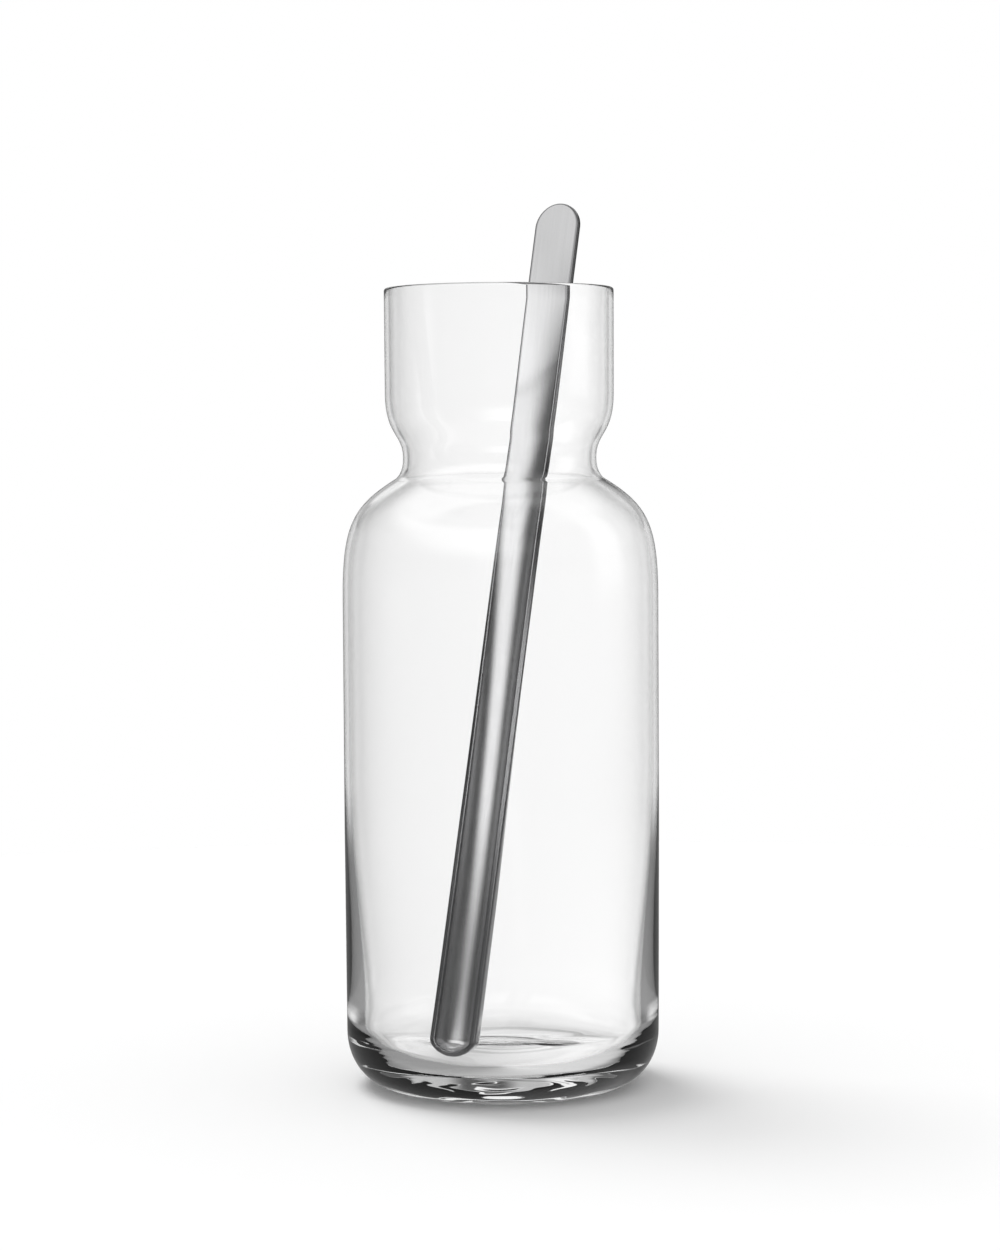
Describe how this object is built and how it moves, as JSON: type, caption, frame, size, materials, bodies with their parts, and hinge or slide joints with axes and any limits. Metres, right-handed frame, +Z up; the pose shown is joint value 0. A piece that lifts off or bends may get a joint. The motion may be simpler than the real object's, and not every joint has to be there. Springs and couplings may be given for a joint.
{
  "type": "carafe with mixing spoon",
  "caption": "Clear glass carafe with a cup-shaped mouth and a pinched waist, and a long steel mixing spoon that stands in it and lifts out.",
  "frame": {"origin": "on the table, at the middle of the carafe's foot ring", "axes": "+Z is up, out of the carafe's mouth; -Y is the side the picture is taken from; +X is to the right in the picture"},
  "size_m": [0.0982, 0.0982, 0.2765],
  "materials": {
    "clear_glass": "clear blown glass, fire polished",
    "polished_steel": "polished stainless steel with faint lengthwise brushing"
  },
  "bodies": {
    "carafe": {"glass_carafe": "clear_glass"},
    "spoon": {"mixing_spoon": "polished_steel"}
  },
  "joints": [
    {"name": "spoon_lift", "type": "slide", "parent": "carafe", "child": "spoon", "axis": [0.0442, 0.0751, 0.9962], "range_m": [0, 0.26]}
  ]
}
